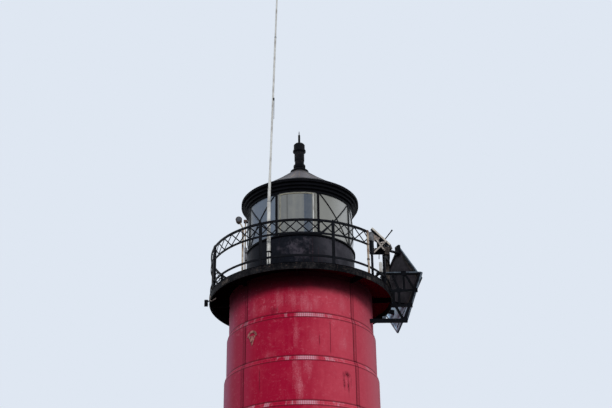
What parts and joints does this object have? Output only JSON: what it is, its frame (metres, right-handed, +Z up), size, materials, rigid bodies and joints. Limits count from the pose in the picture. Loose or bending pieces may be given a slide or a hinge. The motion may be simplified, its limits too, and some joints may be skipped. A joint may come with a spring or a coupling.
{
  "type": "harbour pierhead lighthouse",
  "caption": "Tapered round steel tower of bolted plate courses with a lattice-railed gallery, a round glazed lantern, a low roof with ventilator, a mast and a dayboard.",
  "frame": {"origin": "on the tower's axis, at the underside of the floor and base ring", "axes": "+Z up along the tower's axis, -Y towards the pictured side, +X to its right"},
  "size_m": [4.4505, 3.9436, 17.3529],
  "materials": {
    "red_paint": "weathered red paint on steel plate",
    "black_paint": "weathered black paint",
    "roof_paint": "black paint, faded grey on top",
    "lantern_glass": "dusty plate glass",
    "grey_sash": "bare grey frame",
    "white_paint": "white paint, rusty at the joints",
    "rusty_lamp": "brown weathered housing",
    "grey_boxes": "grey paint",
    "panel_glass": "dark cells in a light frame",
    "board_back": "dull bare back of a board",
    "eye_plate": "worn paint, rusty eyes",
    "concrete": "cast floor, grey"
  },
  "bodies": {
    "root": {"tower_course_01": "red_paint", "tower_course_02": "red_paint", "tower_course_03": "red_paint", "tower_course_04": "red_paint", "tower_course_05": "red_paint", "tower_course_06": "red_paint", "tower_course_07": "red_paint", "tower_course_08": "red_paint", "tower_course_09": "red_paint", "tower_course_10": "red_paint", "tower_course_11": "red_paint", "tower_course_12": "red_paint", "base_ring": "black_paint", "ground_floor": "concrete", "entrance_casing": "black_paint", "entrance_door": "red_paint", "deck_plate": "black_paint", "fascia_ring": "black_paint", "deck_joists": "red_paint", "parapet_wall": "black_paint", "parapet_hatch": "black_paint", "sill_ring": "black_paint", "lantern_glass": "lantern_glass", "mullions": "black_paint", "diagonal_bars": "black_paint", "bay_sash": "grey_sash", "cornice_ring": "black_paint", "roof_shell": "roof_paint", "vent_base": "black_paint", "vent_cap": "black_paint", "lightning_rod": "black_paint", "railing_posts": "black_paint", "top_rail": "black_paint", "lower_rails": "black_paint", "lattice_panels": "black_paint", "mast_lower": "white_paint", "mast_upper": "white_paint", "lamp_pole": "white_paint", "lamp_head": "rusty_lamp", "equipment_stands": "black_paint", "equipment_boxes": "grey_boxes", "solar_panel": "panel_glass", "dayboard": "board_back", "dayboard_truss": "black_paint", "eye_plate": "eye_plate"}
  },
  "joints": []
}
